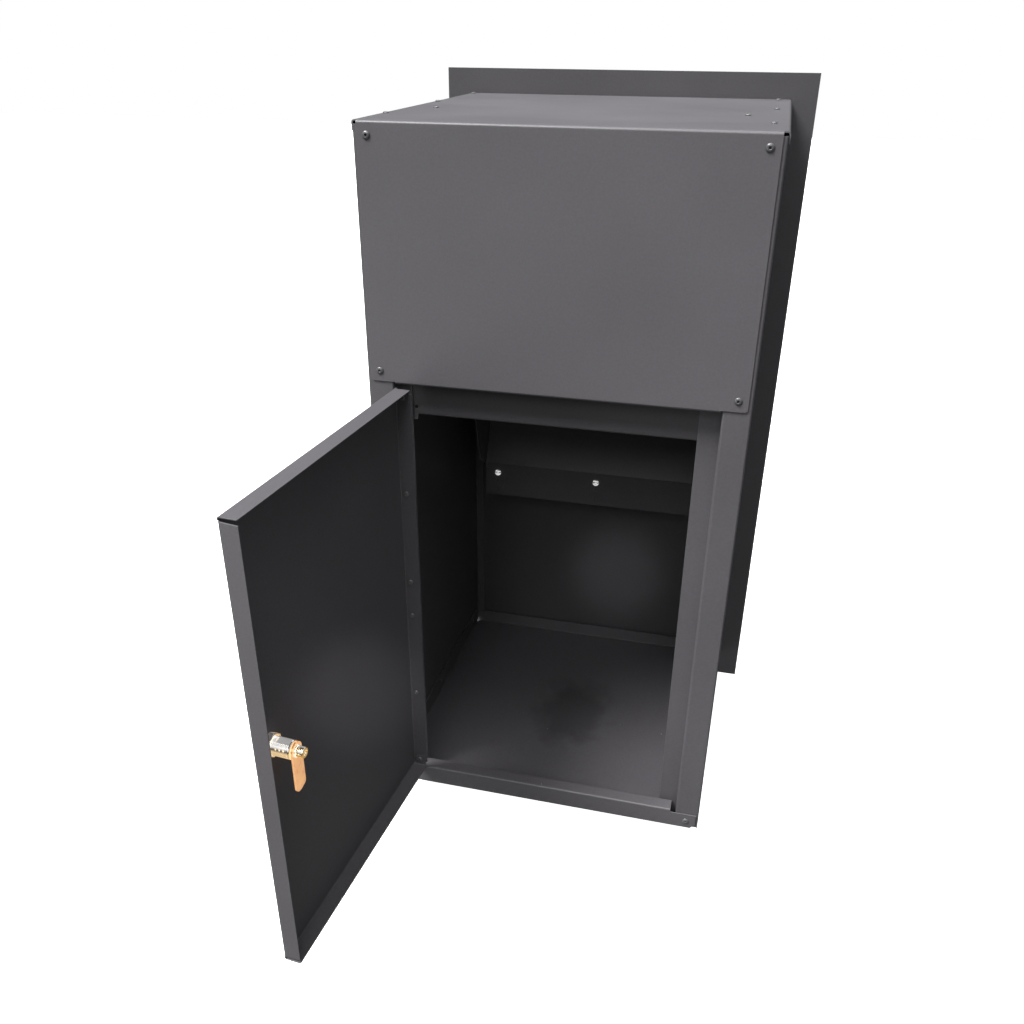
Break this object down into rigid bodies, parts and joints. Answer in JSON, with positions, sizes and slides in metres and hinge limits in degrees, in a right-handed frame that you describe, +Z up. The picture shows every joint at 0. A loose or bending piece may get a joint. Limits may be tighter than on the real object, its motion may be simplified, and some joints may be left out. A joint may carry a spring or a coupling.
{
  "type": "parcel drop box",
  "caption": "Through-wall steel parcel drop box: riveted sheet body, street face plate with delivery hopper, internal chute, hinged rear collection door with cam lock.",
  "frame": {"origin": "centre of the flat underside of the base", "axes": "+Z up, +Y towards the street face plate, +X to the right when facing the collection door"},
  "size_m": [0.462, 0.7812, 0.868],
  "materials": {
    "charcoal_powder_coat": "fine-texture satin powder coat, charcoal",
    "rivet_paint": "satin coated over the rivet heads",
    "zinc_plate": "bright zinc plate",
    "handle_steel": "brushed steel bar",
    "lock_chrome": "bright nickel-chrome plate",
    "yellow_zinc": "yellow zinc passivation",
    "brass": "bright machined brass",
    "black_rubber": "matte moulded rubber"
  },
  "bodies": {
    "body": {"chute_cheek_left": "charcoal_powder_coat", "chute_cheek_right": "charcoal_powder_coat", "chute_plate": "charcoal_powder_coat", "chute_screw_left": "zinc_plate", "chute_screw_mid": "zinc_plate", "chute_screw_right": "zinc_plate", "chute_support": "charcoal_powder_coat", "cover_rivet_lower_left": "rivet_paint", "cover_rivet_lower_right": "rivet_paint", "cover_rivet_upper_left": "rivet_paint", "cover_rivet_upper_right": "rivet_paint", "face_plate": "charcoal_powder_coat", "flap_bumper_left": "black_rubber", "flap_bumper_right": "black_rubber", "flap_stop_strip": "charcoal_powder_coat", "floor_tray": "charcoal_powder_coat", "guide_rivet_left": "rivet_paint", "guide_rivet_right": "rivet_paint", "header_rail": "charcoal_powder_coat", "hinge_frame_leaf_lower": "charcoal_powder_coat", "hinge_frame_leaf_upper": "charcoal_powder_coat", "hinge_pin_lower": "zinc_plate", "hinge_pin_upper": "zinc_plate", "hopper_pin_left": "zinc_plate", "hopper_pin_right": "zinc_plate", "side_panel_left": "charcoal_powder_coat", "side_panel_right": "charcoal_powder_coat", "sill_rivet_left": "rivet_paint", "sill_rivet_right": "rivet_paint", "top_cover": "charcoal_powder_coat", "top_rivet_front_left": "rivet_paint", "top_rivet_front_right": "rivet_paint", "top_rivet_mid_left": "rivet_paint", "top_rivet_mid_right": "rivet_paint", "top_rivet_rear_left": "rivet_paint", "top_rivet_rear_right": "rivet_paint", "tray_rivet_front_left": "rivet_paint", "tray_rivet_front_right": "rivet_paint", "tray_rivet_mid_left": "rivet_paint", "tray_rivet_mid_right": "rivet_paint"},
    "rear_door": {"door_corner_rivet_foot": "rivet_paint", "door_corner_rivet_head": "rivet_paint", "door_panel": "charcoal_powder_coat", "hinge_door_leaf_lower": "charcoal_powder_coat", "hinge_door_leaf_upper": "charcoal_powder_coat", "hinge_rivet_lower_high": "rivet_paint", "hinge_rivet_lower_low": "rivet_paint", "hinge_rivet_upper_high": "rivet_paint", "hinge_rivet_upper_low": "rivet_paint", "lock_barrel": "lock_chrome", "lock_nut": "lock_chrome"},
    "lock": {"cam_screw": "brass", "cam_washer": "zinc_plate", "lock_cam": "yellow_zinc", "lock_plug": "lock_chrome"},
    "hopper": {"flap_handle": "handle_steel", "hopper_bucket": "charcoal_powder_coat", "hopper_flap": "charcoal_powder_coat"}
  },
  "joints": [
    {"name": "rear_door", "type": "hinge", "parent": "body", "child": "rear_door", "pos_m": [-0.1692, -0.2062, 0.2885], "axis": [0, 0, 1], "range_deg": [-75, 95]},
    {"name": "lock_cam", "type": "hinge", "parent": "rear_door", "child": "lock", "pos_m": [-0.16721, -0.51394, 0.2984], "axis": [-0.9962, 0.0872, 0], "range_deg": [0, 90]},
    {"name": "hopper_flap", "type": "hinge", "parent": "body", "child": "hopper", "pos_m": [0, 0.196, 0.522], "axis": [-1, 0, 0], "range_deg": [0, 50]}
  ]
}
